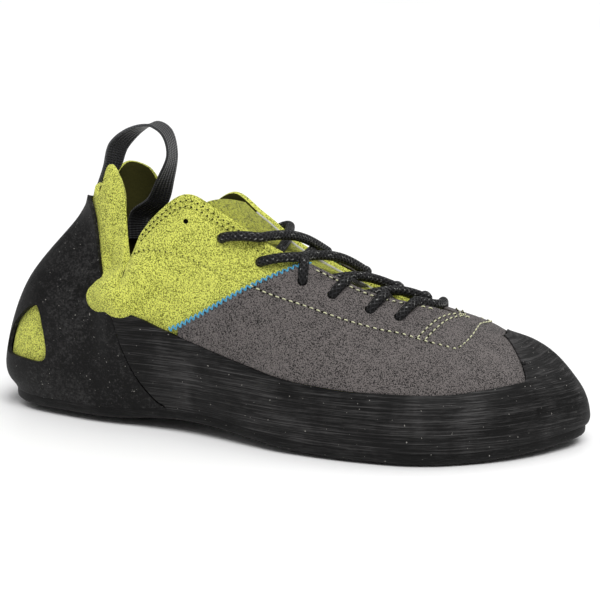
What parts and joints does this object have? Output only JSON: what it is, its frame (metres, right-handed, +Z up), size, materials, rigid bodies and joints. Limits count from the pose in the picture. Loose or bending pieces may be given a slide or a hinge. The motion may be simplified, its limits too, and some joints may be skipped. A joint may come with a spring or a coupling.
{
  "type": "climbing shoe",
  "caption": "Right lace-up climbing shoe with a suede upper, rubber outsole and rands, a padded tongue, a cord lace and a webbing pull loop; the toe end is low and pointed.",
  "frame": {"origin": "bottom centre of the whole shoe's box, on the ground plane the sole stands on", "axes": "+X from the heel to the toe, +Y to the medial (inner) side of this right shoe, +Z up"},
  "size_m": [0.2626, 0.0968, 0.1269],
  "materials": {
    "rubber_black": "sanded, matt",
    "suede_green": "napped suede",
    "suede_grey": "napped suede",
    "footbed": "smooth, matt",
    "lace_cord": "braided",
    "webbing": "woven, slightly glossy"
  },
  "bodies": {
    "root": {"upper": "suede_green", "vamp": "suede_grey", "tongue": "suede_green", "outsole": "rubber_black", "side_rand": "rubber_black", "heel_rand": "rubber_black", "insole": "footbed", "lace": "lace_cord", "pull_loop": "webbing"}
  },
  "joints": []
}
